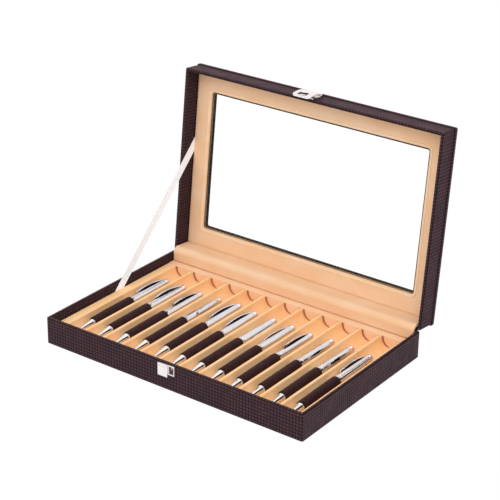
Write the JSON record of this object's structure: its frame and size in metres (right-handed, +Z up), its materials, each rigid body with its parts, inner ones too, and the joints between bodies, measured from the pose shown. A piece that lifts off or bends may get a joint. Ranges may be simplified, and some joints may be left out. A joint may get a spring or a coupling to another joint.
{
  "type": "pen collector chest",
  "caption": "Shallow leatherette display box with a velvet tray of slots for pens, a glazed hinged lid, a stay ribbon and a front snap hasp.",
  "frame": {"origin": "centre of the underside of the felt that the chest rests on", "axes": "+X along the length, +Y from the front with the clasp to the back with the hinge, +Z up"},
  "size_m": [0.342, 0.2759, 0.2593],
  "materials": {
    "leatherette": "fine square-woven grain, satin",
    "board": "hidden board",
    "velvet": "short beige velvet pile",
    "felt": "dark felt",
    "glass": "clear and polished",
    "ribbon": "white satin ribbon",
    "clasp_steel": "bright nickel plate",
    "pen_lacquer": "glossy dark lacquer",
    "pen_chrome": "polished"
  },
  "bodies": {
    "chest_base": {"base_felt": "felt", "base_bottom_board": "board", "base_front_wall": "board", "base_back_wall": "board", "base_side_walls": "board", "base_covering": "leatherette", "tray_floor": "velvet", "tray_side_strips": "velvet", "divider_01": "velvet", "divider_02": "velvet", "divider_03": "velvet", "divider_04": "velvet", "divider_05": "velvet", "divider_06": "velvet", "divider_07": "velvet", "divider_08": "velvet", "divider_09": "velvet", "divider_10": "velvet", "divider_11": "velvet", "tray_rear_rail": "velvet", "hinge_lining": "velvet", "hinge_back_strip": "leatherette", "stay_ribbon": "ribbon", "catch_plate": "clasp_steel", "catch_housing": "clasp_steel", "catch_rivets": "clasp_steel"},
    "lid": {"lid_front_wall": "board", "lid_back_wall": "board", "lid_side_walls": "board", "lid_frame_board": "board", "lid_covering": "leatherette", "lid_velvet_panel": "velvet", "lid_glass": "glass", "hasp_leaf": "clasp_steel", "hasp_pin": "clasp_steel"},
    "hasp": {"hasp_plate": "clasp_steel"},
    "pen_01": {"pen_01_barrel": "pen_lacquer", "pen_01_metal": "pen_chrome"},
    "pen_02": {"pen_02_barrel": "pen_lacquer", "pen_02_metal": "pen_chrome"},
    "pen_03": {"pen_03_barrel": "pen_lacquer", "pen_03_metal": "pen_chrome"},
    "pen_04": {"pen_04_barrel": "pen_lacquer", "pen_04_metal": "pen_chrome"},
    "pen_05": {"pen_05_barrel": "pen_lacquer", "pen_05_metal": "pen_chrome"},
    "pen_06": {"pen_06_barrel": "pen_lacquer", "pen_06_metal": "pen_chrome"},
    "pen_07": {"pen_07_barrel": "pen_lacquer", "pen_07_metal": "pen_chrome"},
    "pen_08": {"pen_08_barrel": "pen_lacquer", "pen_08_metal": "pen_chrome"},
    "pen_09": {"pen_09_barrel": "pen_lacquer", "pen_09_metal": "pen_chrome"},
    "pen_10": {"pen_10_barrel": "pen_lacquer", "pen_10_metal": "pen_chrome"},
    "pen_11": {"pen_11_barrel": "pen_lacquer", "pen_11_metal": "pen_chrome"},
    "pen_12": {"pen_12_barrel": "pen_lacquer", "pen_12_metal": "pen_chrome"}
  },
  "joints": [
    {"name": "lid_hinge", "type": "hinge", "parent": "chest_base", "child": "lid", "pos_m": [0, 0.111, 0.0315], "axis": [-1, 0, 0], "range_deg": [-96.07, 0], "deforming": ["hinge_lining", "hinge_back_strip", "stay_ribbon"]},
    {"name": "hasp_hinge", "type": "hinge", "parent": "lid", "child": "hasp", "pos_m": [-0.0015, 0.15405, 0.25193], "axis": [-1, 0, 0], "range_deg": [-1.2, 100]},
    {"name": "pen_01_lift_out", "type": "slide", "parent": "chest_base", "child": "pen_01", "axis": [0, 0, 1], "range_m": [0, 0.06]},
    {"name": "pen_02_lift_out", "type": "slide", "parent": "chest_base", "child": "pen_02", "axis": [0, 0, 1], "range_m": [0, 0.06]},
    {"name": "pen_03_lift_out", "type": "slide", "parent": "chest_base", "child": "pen_03", "axis": [0, 0, 1], "range_m": [0, 0.06]},
    {"name": "pen_04_lift_out", "type": "slide", "parent": "chest_base", "child": "pen_04", "axis": [0, 0, 1], "range_m": [0, 0.06]},
    {"name": "pen_05_lift_out", "type": "slide", "parent": "chest_base", "child": "pen_05", "axis": [0, 0, 1], "range_m": [0, 0.06]},
    {"name": "pen_06_lift_out", "type": "slide", "parent": "chest_base", "child": "pen_06", "axis": [0, 0, 1], "range_m": [0, 0.06]},
    {"name": "pen_07_lift_out", "type": "slide", "parent": "chest_base", "child": "pen_07", "axis": [0, 0, 1], "range_m": [0, 0.06]},
    {"name": "pen_08_lift_out", "type": "slide", "parent": "chest_base", "child": "pen_08", "axis": [0, 0, 1], "range_m": [0, 0.06]},
    {"name": "pen_09_lift_out", "type": "slide", "parent": "chest_base", "child": "pen_09", "axis": [0, 0, 1], "range_m": [0, 0.06]},
    {"name": "pen_10_lift_out", "type": "slide", "parent": "chest_base", "child": "pen_10", "axis": [0, 0, 1], "range_m": [0, 0.06]},
    {"name": "pen_11_lift_out", "type": "slide", "parent": "chest_base", "child": "pen_11", "axis": [0, 0, 1], "range_m": [0, 0.06]},
    {"name": "pen_12_lift_out", "type": "slide", "parent": "chest_base", "child": "pen_12", "axis": [0, 0, 1], "range_m": [0, 0.06]}
  ]
}
